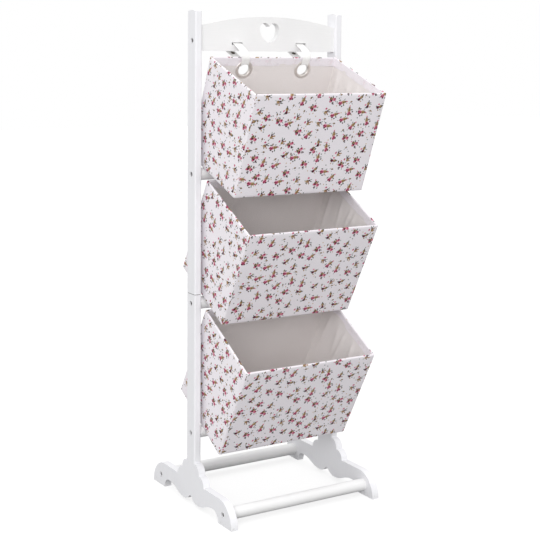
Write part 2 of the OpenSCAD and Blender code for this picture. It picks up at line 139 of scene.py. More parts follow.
def give(tree, made, **values):
    """Links a shader group's outputs by name."""
    for label, value in values.items():
        tree.links.new(value, made[label])
    return tree


def new_material(name, **constants):
    """A material with one Principled shader; constants are set on its own sockets."""
    material = bpy.data.materials.new(name)
    material.use_nodes = True
    tree = material.node_tree
    tree.nodes.clear()
    shader = tree.nodes.new("ShaderNodeBsdfPrincipled")
    for key, value in constants.items():
        shader.inputs[key.replace("_", " ")].default_value = value
    end = tree.nodes.new("ShaderNodeOutputMaterial")
    tree.links.new(shader.outputs[0], end.inputs[0])
    return material, tree, shader


def finish(tree, shader, tone, rough, height, strength, distance, **under):
    """Links colour, roughness and a bump to the shader; under may give the bump a Normal."""
    values = {"Height": height, "Strength": strength, "Distance": distance, **under}
    bump = add(tree, "Bump", values)[0]
    for value, name in ((tone, "Base Color"), (rough, "Roughness"), (bump, "Normal")):
        tree.links.new(value, shader.inputs[name])


def patterned_material(name, pattern, colours, rough, bump, **constants):
    """One pattern for colour, roughness and relief. colours and rough are for its low and
    high end, bump is strength and distance."""
    material, tree, shader = new_material(name, **constants)
    value = pattern(tree, object_place(tree))
    tone = blend_colours(tree, value, *(srgb(*c) for c in colours))
    finish(tree, shader, tone, map_range(tree, value, low=rough[0], high=rough[1]), value, *bump)
    return material


def grained(stretch, detail):
    """A noise pattern drawn out by a stretch along x, y and z."""
    def pattern(tree, place):
        drawn = add(tree, "Mapping", {"Vector": place, "Scale": stretch})[0]
        return clouds(tree, drawn, 1.0, detail)

    return pattern


# Side boards with their feet: softwood boards with hand-rounded edges, brushed
# with satin white paint. The legs end in scrolled feet and carry the upper
# boards on hidden pins; the paint shows a little of the grain along each board.
UPRIGHT_GRAIN, CROSS_GRAIN = (700, 700, 18), (18, 700, 700)


def make_brushed_paint():
    """Paint over wood. Grain is how fast the pattern changes along x, y and z."""
    tree, given, made = new_group(
        "Brushed paint",
        [POSITION, ("Grain", VECTOR, UPRIGHT_GRAIN)],
        [("Shade", FLOAT), ("Roughness", FLOAT), ("Height", FLOAT)],
    )
    along = compute_vector(tree, "MULTIPLY", given["Position"], given["Grain"])
    grain = clouds(tree, along, 1.0, 3.0, Roughness=0.6)
    strokes = clouds(tree, along, 0.27, 2.0)
    cloud = clouds(tree, given["Position"], 9.0, 3.0)
    faint = compute(tree, "MULTIPLY", grain, 0.45)
    shade = compute(tree, "MULTIPLY_ADD", cloud, 0.75, faint)
    return give(
        tree, made,
        Shade=map_range(tree, shade, 0.42, 0.8),
        Roughness=map_range(tree, strokes, 0.3, 0.7, 0.36, 0.5),
        Height=compute(tree, "MULTIPLY_ADD", strokes, 0.7, faint),
    )


def make_floor_scuff():
    """Faint grey rubs at the very bottom, where the feet slide on a floor."""
    tree, given, made = new_group("Floor scuff", [POSITION, ("Reach", FLOAT, 0.014)], [("Mask", FLOAT)])
    low = map_range(tree, split(tree, given["Position"])[2], given["Reach"], 0.0)
    rub = clouds(tree, given["Position"], 130.0, 5.0, Roughness=0.7)
    return give(tree, made, Mask=compute(tree, "MULTIPLY", low, map_range(tree, rub, 0.54, 0.72)))


def make_joint_line():
    """The hairline of shade where one board stands on another, at a height."""
    tree, given, made = new_group("Joint line", [POSITION, ("Joint", FLOAT, 0.0)], [("Mask", FLOAT)])
    above = compute(tree, "SUBTRACT", split(tree, given["Position"])[2], given["Joint"])
    away = compute(tree, "ABSOLUTE", above)
    return give(tree, made, Mask=map_range(tree, away, 0.00075, 0.00035))


brushed_paint = make_brushed_paint()
floor_scuff = make_floor_scuff()
joint_line = make_joint_line()


def paint_material(name, grain, blue, joint=-1.0):
    """White paint, blue setting the blue of its colour, and a painted shade line along a joint at a
    height in metres.
    """
    material, tree, shader = new_material(name, Specular_IOR_Level=0.4)
    place = object_place(tree)
    film = use_group(tree, brushed_paint, Position=place, Grain=grain)
    scuff = use_group(tree, floor_scuff, Position=place)
    line = use_group(tree, joint_line, Position=place, Joint=joint)
    white = blend_colours(tree, film["Shade"], srgb(240, 240, blue), srgb(234, 234, blue - 6))
    rubbed = blend_colours(tree, scuff["Mask"], white, srgb(205, 202, 198))
    # Painted shade: a dark hairline where the upper board stands on the leg.
    tone = blend_colours(tree, line["Mask"], rubbed, srgb(112, 108, 106))
    finish(tree, shader, tone, film["Roughness"], film["Height"], 0.18, 0.0004)
    return material


def dress(name, material, round_edges=0.0):
    """Gives a solid its finish, and rounds its sawn edges by so many millimetres."""
    piece = nodes[name]
    piece.data.materials.clear()
    piece.data.materials.append(material)
    if "custom_normal" in piece.data.attributes:
        piece.data.attributes.remove(piece.data.attributes["custom_normal"])
    piece.data.shade_smooth()
    weld = piece.modifiers.new("weld", "WELD")
    weld.merge_threshold = 0.00012
    if round_edges:
        bevel = piece.modifiers.new("rounded edges", "BEVEL")
        bevel.width = round_edges / 1000
        bevel.segments = 2
        bevel.limit_method = "ANGLE"
        bevel.angle_limit = math.radians(32)
    piece.modifiers.new("flat faces", "WEIGHTED_NORMAL").keep_sharp = True


joint_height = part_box("left_post")[0][2]
# The upright boards get the same paint with more blue. This is a painted cool tint of the light on
# their left-facing sides.
cool_lit_upright_paint = paint_material("white paint, upright boards, painted cool light", UPRIGHT_GRAIN, 243, joint_height)
for board in ("left_leg", "right_leg", "left_post", "right_post"):
    dress(board, cool_lit_upright_paint, 1.2)


# Top rail and round bars: the same softwood and paint with the grain along
# them. The rail is sawn to an arch with a heart and two strap slots; the bars
# are 25 mm dowel, butted between the boards and held by screws.
cross_paint = paint_material("white paint, rail and bars", CROSS_GRAIN, 240)
dress("top_rail", cross_paint, 1.0)
for bar in ("crossbar_upper", "crossbar_middle", "crossbar_lower", "front_foot_bar", "rear_foot_bar"):
    dress(bar, cross_paint, 0.6)


# Screws and pins: zinc plated socket screws sunk in the side boards, drawn in a dark grey
# metal, and beech pins that hide in the joints. Both are bought in and left unpainted.
dark_screw_metal = patterned_material(
    "dark screw metal", lambda tree, place: clouds(tree, place, 420.0, 4.0),
    ((62, 57, 54), (86, 80, 76)), (0.25, 0.5), (0.2, 0.0001), Metallic=1.0,
)
bare_beech = patterned_material(
    "bare beech", grained((900, 900, 160), 4.0),
    ((222, 190, 150), (186, 145, 104)), (0.55, 0.8), (0.3, 0.0002),
)
dress("frame_screws", dark_screw_metal, 0.3)
dress("wood_pins", bare_beech, 0.5)


# Stiffening boards: grey board cut to each panel and sewn in between the
# printed cover and the lining. Only their cut edges could ever be seen.
grey_board = patterned_material(
    "grey board", lambda tree, place: clouds(tree, place, 900.0, 5.0, Distortion=1.2),
    ((150, 143, 133), (190, 183, 172)), (0.75, 0.95), (0.4, 0.0002),
)
LEVELS = ("top", "middle", "bottom")
for level in LEVELS:
    dress(f"{level}_basket_boards", grey_board)


# Printed cotton: a plain-weave cloth printed all over with small rose sprigs,
# single buds and specks on a white ground. It covers each basket outside, goes
# over the rim and is turned in 20 mm deep inside, where it is stitched down.
COTTON_PITCH, LINING_PITCH = 0.0005, 0.0006


def make_plain_weave():
    """Threads over and under each other, with a mask for painted shade in the valleys between them.
    Pitch is the spacing of the threads in metres.
    """
    tree, given, made = new_group("Plain weave", [POSITION, ("Pitch", FLOAT, COTTON_PITCH)], WOVEN)
    turns = compute(tree, "DIVIDE", math.pi, given["Pitch"])
    wobble = noise_outputs(tree, given["Position"], 60.0, 1.0)[1]
    moved = compute_vector(tree, "MULTIPLY_ADD", wobble, (0.002, 0.002, 0), given["Position"])
    grid = compute_vector(tree, "SCALE", moved, Scale=turns)
    side = split(tree, compute_vector(tree, "SINE", grid))
    over = compute(tree, "MULTIPLY", side[0], side[1])
    warp, weft = (compute(tree, "ABSOLUTE", side[n]) for n in (0, 1))
    which = compute(tree, "GREATER_THAN", over, 0.0)
    pick = add(tree, "Mix", {0: which, 2: weft, 3: warp})[0]
    return give(tree, made, Height=pick, Valley=map_range(tree, pick, 0.45, 0.0))


plain_weave = make_plain_weave()

PINK = (srgb(228, 124, 154), srgb(186, 68, 104))
CRIMSON = (srgb(138, 34, 68), srgb(88, 18, 42))
MAROON = (srgb(76, 22, 42), srgb(40, 14, 28))
TAN = (srgb(192, 158, 112), srgb(134, 104, 72))
OLIVE = (srgb(114, 94, 54), srgb(76, 62, 40))
FERN = (srgb(56, 78, 62), srgb(34, 46, 42))
MIST = (srgb(152, 166, 156), srgb(112, 126, 118))
BLUSH = (srgb(238, 176, 194), srgb(220, 142, 166))

# Each sprig is a list of soft ovals: paint, x, y, half length, half width, turn.
SPRIGS = {
    "rose and tan rose": [
        (FERN, -7.4, 1.9, 2.6, 1.1, 38), (MIST, 0.9, 8.6, 2.1, 0.9, 72),
        (FERN, 7.0, -0.9, 2.6, 1.0, -36), (OLIVE, 4.9, 5.6, 3.3, 2.3, 44),
        (TAN, 2.3, 2.9, 4.3, 3.5, 32), (OLIVE, 3.2, 2.6, 2.0, 1.0, 48),
        (PINK, -2.5, -2.2, 4.5, 3.8, 18), (CRIMSON, -1.4, -1.5, 2.3, 1.5, 30),
        (CRIMSON, -5.0, -3.8, 2.2, 1.5, 62), (BLUSH, -3.6, -0.1, 1.7, 0.8, -30),
        (MAROON, -0.5, -5.9, 2.1, 1.7, 15), (MAROON, 5.3, -5.4, 1.8, 1.4, 30),
        (PINK, 8.4, 8.4, 1.9, 1.4, 20), (FERN, -8.6, -7.0, 1.4, 0.6, 50),
    ],
    "two roses": [
        (FERN, 0.3, 6.0, 1.4, 2.8, 8), (MIST, 7.9, -3.4, 2.3, 0.9, -42),
        (OLIVE, -4.6, 3.5, 3.5, 2.2, 62), (TAN, -0.6, 2.5, 2.7, 2.1, 25),
        (PINK, 3.8, 0.8, 3.9, 3.4, 0), (CRIMSON, 5.1, 2.1, 2.2, 1.6, 40),
        (BLUSH, 2.6, -0.6, 1.6, 0.8, 50), (CRIMSON, -3.5, -2.0, 3.8, 3.0, 33),
        (PINK, -4.7, -3.2, 2.0, 1.5, 0), (MAROON, -1.9, -0.5, 2.1, 1.4, 35),
        (MAROON, 1.2, -6.5, 2.8, 1.8, 62), (FERN, 3.3, -9.0, 1.7, 0.9, 60),
        (PINK, -8.2, 6.0, 1.8, 1.2, -20), (MAROON, 8.0, 6.6, 1.3, 1.0, 15),
    ],
    "long bud": [
        (FERN, -6.6, -1.6, 2.2, 1.0, 0), (MIST, 6.3, -2.4, 2.2, 1.0, -36),
        (OLIVE, 2.6, 3.0, 3.9, 3.1, 62), (TAN, 1.2, 2.4, 2.7, 2.3, 50),
        (MAROON, -2.0, -2.1, 3.7, 3.1, 30), (CRIMSON, -0.6, -1.4, 2.0, 1.5, 40),
        (PINK, -4.2, 4.6, 2.2, 1.8, 20), (FERN, 5.6, 7.0, 1.9, 1.1, 70),
        (TAN, 2.4, -6.0, 1.9, 1.3, -20),
    ],
    "tan spray": [
        (MIST, 2.7, 5.4, 2.5, 1.0, 62), (FERN, 5.4, 1.7, 2.6, 0.9, 22),
        (TAN, -1.6, -2.5, 3.8, 3.1, 18), (OLIVE, -2.3, -1.5, 2.1, 1.0, 30),
        (PINK, -4.9, 4.2, 2.6, 2.1, 35), (CRIMSON, -4.2, 4.8, 1.4, 1.0, 20),
        (MAROON, 0.9, 1.6, 2.4, 1.8, 42), (TAN, 4.7, -4.0, 2.1, 1.6, -20),
        (OLIVE, 0.4, -6.8, 2.3, 1.0, -32), (CRIMSON, 1.8, -2.2, 1.6, 1.1, 60),
        (MIST, -7.6, -4.4, 1.9, 0.8, 30),
    ],
    "small bud": [
        (OLIVE, 0.4, 0.4, 2.5, 1.5, 40), (MAROON, 1.0, -0.2, 1.2, 0.8, 40),
        (TAN, -0.8, 0.8, 1.2, 0.8, 40), (MIST, -3.2, -2.8, 1.4, 0.6, 45),
        (FERN, 3.6, -3.4, 1.1, 0.6, -20),
    ],
}


def laid(tree, place, shift, turn, size, way="POINT"):
    """A place moved, turned in its plane and scaled, or with way TEXTURE the other way round."""
    values = {"Vector": place, "Location": shift, "Rotation": (0, 0, turn), "Scale": size}
    return add(tree, "Mapping", values, vector_type=way)[0]


def make_sprig(name, ovals):
    """One printed sprig round its own middle; Position is in millimetres."""
    tree, given, made = new_group(f"Sprig, {name}", [POSITION, GROUND], [("Colour", COLOUR)])
    dark = map_range(tree, clouds(tree, given["Position"], 0.9, 2.0), 0.42, 0.62)
    paints = {}
    colour = given["Ground"]
    for paint, x, y, length, width, turn in ovals:
        if paint not in paints:
            paints[paint] = blend_colours(tree, dark, *paint)
        size = (length, width, 1)
        oval = laid(tree, given["Position"], (x, y, 0), math.radians(turn), size, "TEXTURE")
        mask = map_range(tree, length_of(tree, oval), 1.15, 0.85)
        colour = blend_colours(tree, mask, colour, paints[paint])
    return give(tree, made, Colour=colour)


sprig = {name: make_sprig(name, ovals) for name, ovals in SPRIGS.items()}
SLANT = math.radians(24)


def make_ditsy_print():
    """The repeat: sprigs on a loose grid, buds between them, and specks."""
    tree, given, made = new_group("Ditsy print", [POSITION, GROUND], [("Colour", COLOUR)])

    def scatter(pitch, shift, loose, swing):
        """Each cell's own coordinates in millimetres on a slanting grid, turned up to a swing
        either way, and its two random numbers."""
        grid = laid(tree, given["Position"], shift, SLANT, (1000 / pitch, 1000 / pitch, 1))
        values = {"Vector": grid, "Scale": 1.0, "Randomness": loose}
        cell = add(tree, "TexVoronoi", values, voronoi_dimensions="2D")
        away = compute_vector(tree, "SUBTRACT", grid, cell["Position"])
        size = compute_vector(tree, "SCALE", away, Scale=pitch)
        chance = add(tree, "SeparateColor", {0: cell["Color"]})
        angle = compute(tree, "MULTIPLY_ADD", chance[1], 2 * swing, -swing - SLANT)
        values = {"Vector": size, "Angle": angle}
        turned = add(tree, "VectorRotate", values, rotation_type="Z_AXIS")[0]
        ragged = noise_outputs(tree, size, 0.55, 2.0)[1]
        centred = compute_vector(tree, "SUBTRACT", ragged, (0.5, 0.5, 0.5))
        moved = compute_vector(tree, "MULTIPLY_ADD", centred, (2.6, 2.6, 0), turned)
        return moved, chance[0], chance[2]

    def above(value, limit):
        return compute(tree, "GREATER_THAN", value, limit)

    def stamp(name):
        return use_group(tree, sprig[name], Position=place, Ground=colour)[0]

    place, kind, other = scatter(9.5, (0.3, 0.1, 0), 0.9, math.pi)
    dot = map_range(tree, length_of(tree, place), 1.5, 0.9)
    some = compute(tree, "MULTIPLY", dot, above(other, 0.76))
    speck_paint = blend_colours(tree, above(kind, 0.5), FERN[0], TAN[0])
    colour = blend_colours(tree, some, given["Ground"], speck_paint)

    place, kind, other = scatter(28.0, (0.5, 0.5, 0), 0.4, 1.2)
    colour = blend_colours(tree, above(other, 0.45), colour, stamp("small bud"))

    place, kind, other = scatter(28.0, (0, 0, 0), 0.45, 1.0)
    low = blend_colours(tree, above(kind, 0.32), stamp("rose and tan rose"), stamp("two roses"))
    high = blend_colours(tree, above(kind, 0.79), stamp("long bud"), stamp("tan spray"))
    return give(tree, made, Colour=blend_colours(tree, above(kind, 0.58), low, high))


ditsy_print = make_ditsy_print()


def cotton_material(name, shown):
    """shown is how much of the print is seen: all of it outside, a ghost of it on the hem."""
    material, tree, shader = new_material(
        name, Sheen_Weight=0.12, Sheen_Roughness=0.5, Specular_IOR_Level=0.25
    )
    cloth = cloth_place(tree)
    ground = srgb(240, 235, 240)
    full = use_group(tree, ditsy_print, Position=cloth, Ground=ground)[0]
    ink = blend_colours(tree, shown, ground, full)
    weave = use_group(tree, plain_weave, Position=cloth, Pitch=COTTON_PITCH)
    # Painted shade: the print is darkened to 86% in the valleys of the weave.
    values = {0: 1.0, 6: ink, 7: (0.86, 0.86, 0.87, 1)}
    dark = add(tree, "Mix", values, data_type="RGBA", blend_type="MULTIPLY")[2]
    tone = blend_colours(tree, weave["Valley"], ink, dark)
    slub = clouds(tree, cloth, 210.0, 3.0)
    values = {"Height": weave["Height"], "Strength": 0.3, "Distance": 0.00012}
    fine = add(tree, "Bump", values)[0]
    rough = map_range(tree, slub, low=0.72, high=0.92)
    finish(tree, shader, tone, rough, slub, 0.25, 0.0006, Normal=fine)
    return material


printed_cotton = cotton_material("printed cotton", 1.0)
white_hem = cotton_material("white hem over the print", 0.09)

# The basket's plan, and how each basket leans: its tilt, how far its back edge
# lies behind the bar under it, that bar's height, and how high it sits over it.
WIDE, DEEP, TALL, CORNER = 303.0, 191.0, 216.0, 4.0
HEM_IN, HEM_DEEP, CLOTH = 4.6, 20.0, 0.55
LEAN = {
    "top": (21.7, 57.0, 674.0, 14.4),
    "middle": (28.6, 101.5, 413.0, 14.4),
    "bottom": (29.6, 111.0, 148.0, 12.8),
}
# Eyelets: their places on the back panel, and where the cloth has finer faces for
# them, across and up. BACK is the u past which a point is in the back panel.
EYELET_X, EYELET_DROP, BACK = 70.0, 26.0, -9
FINE_ACROSS, FINE_UP = [(-92, -48), (48, 92)], [(-43, -9)]
# Radii of an eyelet's hole in the cloth: the hole itself, the circle in which
# faces are cut out, and the one from which the edge left is drawn to the hole.
# The rim above RIM_V stays as it is.
HOLE, HOLE_CUT, HOLE_EDGE, RIM_V = 13.6, 12.4, 17, -8


def rim_of(level):
    """Where the outer top edge of the back panel is, as (y, z)."""
    tilt, slide, bar, seat = LEAN[level]
    c, s = math.cos(math.radians(tilt)), math.sin(math.radians(tilt))
    return slide * c - (seat + TALL) * s, bar + slide * s + (seat + TALL) * c


def in_rack(level, x, u, v):
    """A point of a basket, u behind and v above that edge, in the rack's frame in metres."""
    tilt = math.radians(LEAN[level][0])
    y, z = rim_of(level)
    c, s = math.cos(tilt), math.sin(tilt)
    return Vector((x, y + u * c - v * s, z + u * s + v * c)) / 1000


def from_eyelet(x, v):
    """How far a point of the back panel is from the middle of the nearer eyelet."""
    return math.hypot(abs(x) - EYELET_X, v + EYELET_DROP)


def ticks(low, high, coarse, zones=(), fine=3.0):
    """Places from low to high, closer together inside the zones."""
    places = [low]
    while places[-1] < high - 1e-6:
        here = places[-1]
        step = fine if any(a - coarse < here < b for a, b in zones) else coarse
        places.append(high if high - here < 1.4 * step else here + step)
    return places


def round_the_plan():
    """Columns of cloth round the basket from the front left corner: side or corner, place
    on it, turn in a corner, distance along the cloth, panel."""
    columns = []
    run = 0.0
    for side in range(4):
        length = (DEEP if side % 2 else WIDE) - 2 * CORNER
        zones = FINE_ACROSS if side == 2 else []
        last = None
        for place in ticks(-length / 2, length / 2, 4.0 if side % 2 else 8.0, zones):
            run += 0 if last is None else place - last
            last = place
            columns.append((side, 2 * place / length, None, run, side))
        for k in range(1, 5):
            turn = k * 18.0
            panel = side if k < 3 else (side + 1) % 4
            columns.append((side, 1.0, turn, run + math.radians(turn) * CORNER, panel))
        run += math.radians(90) * CORNER
    return columns, run


COLUMNS, GIRTH = round_the_plan()


def on_plan(column, inset):
    """x, u and the outward direction of a column at an inset from the outside."""
    side, share, turn, _, _ = column
    half_w, half_d = WIDE / 2 - inset, DEEP / 2 - inset
    radius = min(max(CORNER - inset, 0.6), half_d)
    facing = math.radians(-90 + 90 * side + (turn or 0))
    across = ((half_d if side % 2 else half_w) - radius) * share
    if turn is None:
        x, w = ((across, -half_d), (half_w, across), (-across, half_d), (-half_w, -across))[side]
    else:
        cx = (half_w - radius) * (1, 1, -1, -1)[side]
        cw = (half_d - radius) * (-1, 1, 1, -1)[side]
        x, w = cx + radius * math.cos(facing), cw + radius * math.sin(facing)
    return x, w - DEEP / 2, math.cos(facing), math.sin(facing)


def new_mesh(name, points, faces):
    mesh = bpy.data.meshes.new(name)
    mesh.from_pydata(points, [], faces)
    return mesh


def put_in_scene(name, data):
    piece = bpy.data.objects.new(name, data)
    bpy.context.scene.collection.objects.link(piece)
    return piece


@contextmanager
def reworked(mesh):
    """The mesh as a bmesh, which goes back into it at the end."""
    work = bmesh.new()
    work.from_mesh(mesh)
    yield work
    work.to_mesh(mesh)
    work.free()


def cut_eyelet_holes(points, faces):
    """Draws the cloth's edge round the eyelets to a circle. Gives the faces kept."""
    inside = set()
    for n, face in enumerate(faces):
        mid = points[face].mean(0)
        if mid[1] > BACK and from_eyelet(mid[0], mid[2]) < HOLE_CUT:
            inside.add(n)
    edge = {p for n in inside for p in faces[n]}
    kept = [n for n in range(len(faces)) if n not in inside]
    for p in {p for n in kept for p in faces[n]}:
        x, u, v = points[p]
        if u < BACK or v > RIM_V:
            continue
        x0 = math.copysign(EYELET_X, x)
        away = from_eyelet(x, v)
        if (p in edge and away < HOLE_EDGE) or away < HOLE:
            points[p, 0] = x0 + (x - x0) * HOLE / away
            points[p, 2] = -EYELET_DROP + (v + EYELET_DROP) * HOLE / away
    return kept


# Where each basket and each of its panels is cut from the print, in metres along
# the cloth: the shift per level, the step from panel to panel, and the bottom's.
LEVEL_SHIFT = {"top": (0.0, 0.0), "middle": (0.137, 0.061), "bottom": (0.291, 0.118)}
PANEL_STEP, BOTTOM_SHIFT = (0.313, 0.171), 2
# The first rows of cloth lie in the bottom: the seam along its middle, then outward.
BOTTOM_ROWS, BOTTOM_INSETS = 5, (95.42, 95, 60, 30)


def wrap_cloth(name, level, rows, push, turned_in=1000):
    """Cloth round a basket: rows are (height, inset, distance along the cloth), from the
    middle of the bottom, push is how far each point stands out and up. The rows from
    turned_in on have the second material."""
    points, faces, maps = [], [], []
    count = len(COLUMNS)
    for v, inset, _ in rows:
        for column in COLUMNS:
            x, u, nx, nu = on_plan(column, inset)
            d, dv = push(column, x, u, v)
            points.append([x + nx * d, u + nu * d, v + dv])
    sx, sy = LEVEL_SHIFT[level]
    for j in range(len(rows) - 1):
        for i in range(count):
            k = (i + 1) % count
            corners = [(j, i), (j, k), (j + 1, k), (j + 1, i)]
            face = [r * count + c for r, c in corners]
            faces.append(face)
            if j < BOTTOM_ROWS:
                flat = [points[p] for p in face]
                maps.append([(x / 1000 + sx, u / 1000 + BOTTOM_SHIFT + sy) for x, u, _ in flat])
                continue
            ax, ay = (step * COLUMNS[i][4] for step in PANEL_STEP)
            last = i == count - 1
            reach = [GIRTH if (c == 0 and last) else COLUMNS[c][3] for _, c in corners]
            up = [rows[r][2] for r, _ in corners]
            maps.append([(a / 1000 + ax + sx, b / 1000 + ay + sy) for a, b in zip(reach, up)])
    points = np.array(points)
    kept = cut_eyelet_holes(points, faces)

    mesh = new_mesh(name, [in_rack(level, *p) for p in points], [faces[n] for n in kept])
    layer = mesh.uv_layers.new(name="cloth")
    layer.data.foreach_set("uv", [value for n in kept for uv in maps[n] for value in uv])
    mesh.polygons.foreach_set("material_index", [int(n // count >= turned_in) for n in kept])
    with reworked(mesh) as work:
        work.verts.ensure_lookup_table()
        bmesh.ops.remove_doubles(work, verts=work.verts[:count], dist=0.00001)
        loose = [p for p in work.verts if not p.link_faces]
        bmesh.ops.delete(work, geom=loose, context="VERTS")
    mesh.shade_smooth()
    return put_in_scene(name, mesh)


def thicken(piece, thickness, side):
    """Gives cloth its thickness, inward (-1) or outward (1)."""
    thick = piece.modifiers.new("cloth thickness", "SOLIDIFY")
    thick.thickness = thickness / 1000
    thick.offset = side


def path_of(corners):
    """Adds to each (height, inset) its distance along the cloth."""
    rows, run = [], 0.0
    for n, (v, inset) in enumerate(corners):
        if n:
            run += math.hypot(v - corners[n - 1][0], inset - corners[n - 1][1])
        rows.append((v, inset, run))
    return rows


def panel_swell(column, height):
    """0 at a panel's edges and 1 over most of its face."""
    share = column[1] if column[2] is None else 1.0
    return max(0.0, 1 - abs(share) ** 6) * max(0.0, 1 - abs(2 * height - 1) ** 6)


# Creases round an eyelet lie between these radii.
CREASE_IN, CREASE_OUT = 18, 42


def eyelet_pucker(x, u, v):
    """Small radial creases where a metal ring pinches the cloth."""
    away = from_eyelet(x, v)
    if u < BACK or not CREASE_IN < away < CREASE_OUT:
        return 0.0
    angle = math.atan2(v + EYELET_DROP, x - math.copysign(EYELET_X, x))
    rise = math.sin(math.pi * (away - CREASE_IN) / (CREASE_OUT - CREASE_IN))
    return 0.35 * math.sin(7 * angle + 2 * math.sin(3 * angle)) * rise


HEM_ROWS = 9


def cover_corners():
    """Height and inset of each row of the cover, from the middle of the bottom to the end
    of the hem. The last HEM_ROWS rows lie inside the rim's top."""
    rows = [(-TALL, inset) for inset in (*BOTTOM_INSETS, 8, 1.5)]
    rows += [(-TALL + 0.44, 0.44), (-TALL + 1.5, 0.0)]
    rows += [(v, 0.0) for v in ticks(-TALL + 6, -2.3, 8.0, FINE_UP)]
    middle = HEM_IN / 2
    for a in map(math.radians, range(30, 181, 30)):
        rows.append((-middle + middle * math.sin(a), middle - middle * math.cos(a)))
    rows += [(v, HEM_IN) for v in (-5.0, -8.0, -11.0, -14.0, -16.6, -18.2)]
    rows.append((-HEM_DEEP, HEM_IN - 0.35))
    return rows


def cover_push(seed):
    def push(column, x, u, v):
        if v > -2.4 or v < -TALL + 1:
            return 0.0, 0.0
        swell = panel_swell(column, (v + TALL) / TALL)
        ripple = noise.noise(Vector((x / 55 + seed, u / 55, v / 70)))
        ripple += 0.5 * noise.noise(Vector((x / 21, u / 21 + seed, v / 30)))
        return swell * (0.55 + 0.45 * ripple) + 0.1, 0.0

    return push


for number, level in enumerate(LEVELS):
    rows = path_of(cover_corners())
    name, hem_from = f"{level}_basket_printed_cover", len(rows) - HEM_ROWS
    cover = wrap_cloth(name, level, rows, cover_push(7.3 * number), hem_from)
    cover.data.materials.append(printed_cotton)
    cover.data.materials.append(white_hem)
    thicken(cover, CLOTH, -1.0)
    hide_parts(f"{level}_basket_cover", f"{level}_basket_hem")
    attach(cover, f"{level}_basket")


# Lining: plain beige cotton, a loose bag inside the boards that is caught by
# the turned-in hem at the top, so it falls in soft upright folds below it.
LINING_IN, LINING_CLOTH = 4.0, 0.5
# Folds per side (front, right, back, left), and how deep and wide they are there.
FOLDS, FOLD_DEEP, FOLD_WIDE = (3, 5, 2, 4), (1.0, 1.8, 0.45, 1.0), (1.0, 0.6, 1.0, 0.6)


def woven_material(name, weave, pitch, cloud, colours, rough, bump, **constants):
    """Cloth of one colour: two tints in clouds of a scale and detail, and a darker third as painted
    shade in the valleys of its weave. rough is for the clouds' low and high end, bump strength and
    distance."""
    material, tree, shader = new_material(name, **constants)
    cloth = cloth_place(tree)
    threads = use_group(tree, weave, Position=cloth, **pitch)
    tint = clouds(tree, cloth, *cloud)
    first, second, deep = (srgb(*c) for c in colours)
    plain = blend_colours(tree, tint, first, second)
    tone = blend_colours(tree, threads["Valley"], plain, deep)
    dull = map_range(tree, tint, low=rough[0], high=rough[1])
    finish(tree, shader, tone, dull, threads["Height"], *bump)
    return material


lining_cloth = woven_material(
    "beige lining", plain_weave, {"Pitch": LINING_PITCH}, (16.0, 4.0),
    # The third colour is painted shade in the valleys of the weave.
    ((236, 231, 230), (229, 224, 222), (212, 205, 203)), (0.8, 0.95), (0.35, 0.00014),
    Sheen_Weight=0.15, Sheen_Roughness=0.5, Specular_IOR_Level=0.2,
)


def lining_folds(seed):
    """Upright folds: side, place on it, half width, depth, lean and how far down they run."""
    dice = random.Random(seed)
    folds = []
    for side, count in enumerate(FOLDS):
        reach = (DEEP if side % 2 else WIDE) / 2 - 16
        for n in range(count):
            place = reach * (2 * (n + 0.5) / count - 1) + dice.uniform(-9, 9)
            deep = dice.uniform(1.2, 3.0) * FOLD_DEEP[side]
            half = dice.uniform(6, 12) * FOLD_WIDE[side]
            lean, fall = dice.uniform(-0.12, 0.12), dice.uniform(0.45, 0.95)
            folds.append((side, place, half, deep, lean, fall))
    return folds


def lining_push(seed):
    folds = lining_folds(seed)

    def push(column, x, u, v):
        if v > -HEM_DEEP:
            return 0.0, 0.0
        if v < -TALL + LINING_IN + 0.1:
            return 0.0, 0.35 + 0.35 * noise.noise(Vector((x / 50, u / 50, seed)))
        down = (-HEM_DEEP - v) / (TALL - HEM_DEEP - LINING_IN)
        top = min(1.0, down / 0.12)
        foot = max(0.0, 1 - down ** 5)
        side, share, turn, _, _ = column
        depth = 0.5 + 0.5 * noise.noise(Vector((x / 60 + seed, u / 60, v / 80)))
        if turn is None:
            along = share * ((DEEP if side % 2 else WIDE) / 2 - CORNER)
            for where, place, half, deep, lean, fall in folds:
                if where == side:
                    off = (along - place - lean * (v + HEM_DEEP)) / half
                    depth += deep * math.exp(-off * off) * max(0.0, 1 - (down / fall) ** 2)
        if side == 2 and turn is None and from_eyelet(x, v) < CREASE_IN + 6:
            depth *= max(0.0, (from_eyelet(x, v) - CREASE_IN) / 6)
        pinch = eyelet_pucker(x, u, v) if side == 2 else 0.0
        out = panel_swell(column, 0.5) * top * foot * depth
        return -(out + 0.2 * top + max(0.0, pinch) * foot), 0.0

    return push


for number, level in enumerate(LEVELS):
    floor_v, inset = -TALL + LINING_IN, LINING_IN + 0.05
    shape = [(floor_v, place) for place in (*BOTTOM_INSETS, 12, 8.0)]
    shape += [(floor_v + 0.9, 5.2), (floor_v + 4, inset)]
    shape += [(v, inset) for v in ticks(floor_v + 10, -12.0, 8.0, FINE_UP)]
    name = f"{level}_basket_lining_cloth"
    lining = wrap_cloth(name, level, path_of(shape), lining_push(31 + number))
    lining.data.materials.append(lining_cloth)
    thicken(lining, LINING_CLOTH, 1.0)
    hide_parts(f"{level}_basket_lining")
    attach(lining, f"{level}_basket")


# Stitching: white polyester thread. One row holds the hem down inside, one runs
# round just under the rim outside, and one closes each upright corner seam.
def twisted(tree, place):
    values = {"Vector": place, "Scale": 900.0, "Distortion": 1.5}
    return add(tree, "TexWave", values, bands_direction="DIAGONAL")[1]


